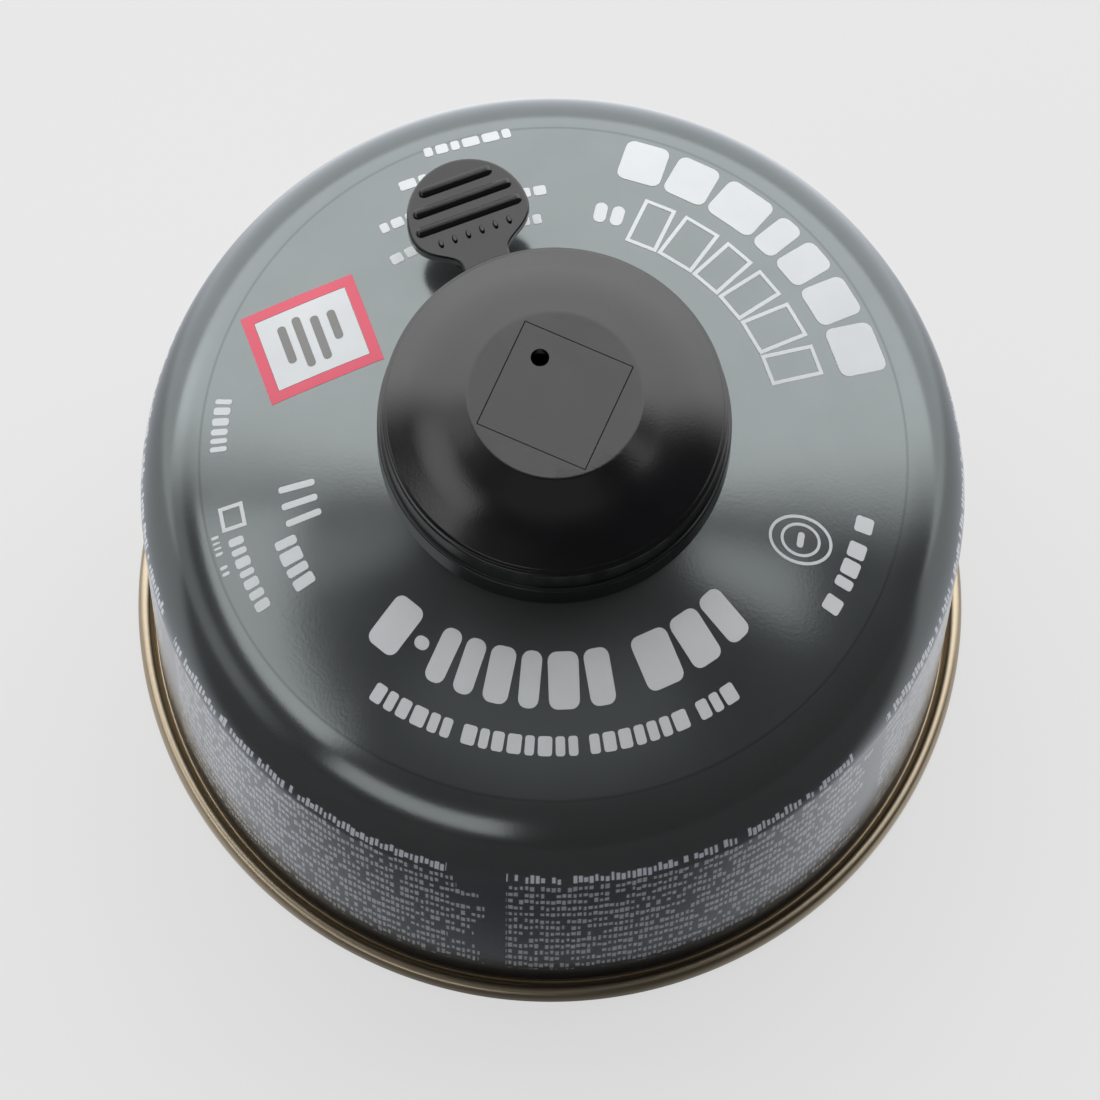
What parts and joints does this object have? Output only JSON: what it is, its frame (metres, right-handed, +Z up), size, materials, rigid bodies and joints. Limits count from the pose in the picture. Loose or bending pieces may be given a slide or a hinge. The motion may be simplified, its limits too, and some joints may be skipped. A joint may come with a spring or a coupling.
{
  "type": "fuel canister",
  "caption": "Small squat steel fuel canister with a screw valve, a rolled base seam and a black push-on cap with a lift tab.",
  "frame": {"origin": "on the canister's axis, in the plane of the base seam that it stands on", "axes": "+Z up along the canister's axis, -Y towards the front of the picture, +X to its right; the cap's tab points 112.3 degrees from +X"},
  "size_m": [0.0904, 0.0904, 0.073],
  "materials": {
    "can_body": "satin metallic grey-green paint with pale printed marks",
    "base_end": "gold lacquer on tinplate, glossy",
    "valve_cup": "bright tinplate",
    "valve_stem": "satin",
    "valve_spring": "bright",
    "valve_housing": "matte",
    "cup_gasket": "matte",
    "stem_gasket": "matte",
    "cap": "satin black polyethylene"
  },
  "bodies": {
    "can": {"can_body": "can_body", "base_end": "base_end", "valve_cup": "valve_cup", "cup_gasket": "cup_gasket", "stem_gasket": "stem_gasket", "valve_housing": "valve_housing", "valve_spring": "valve_spring"},
    "stem": {"valve_stem": "valve_stem"},
    "cap": {"cap": "cap"}
  },
  "joints": [
    {"name": "cap_lift", "type": "slide", "parent": "can", "child": "cap", "axis": [0, 0, 1], "range_m": [0, 0.025]},
    {"name": "stem_press", "type": "slide", "parent": "can", "child": "stem", "axis": [0, 0, -1], "range_m": [0, 0.0015], "stiffness_N_per_m": 1500, "springref_m": -0.001, "deforming": ["valve_spring"]}
  ]
}
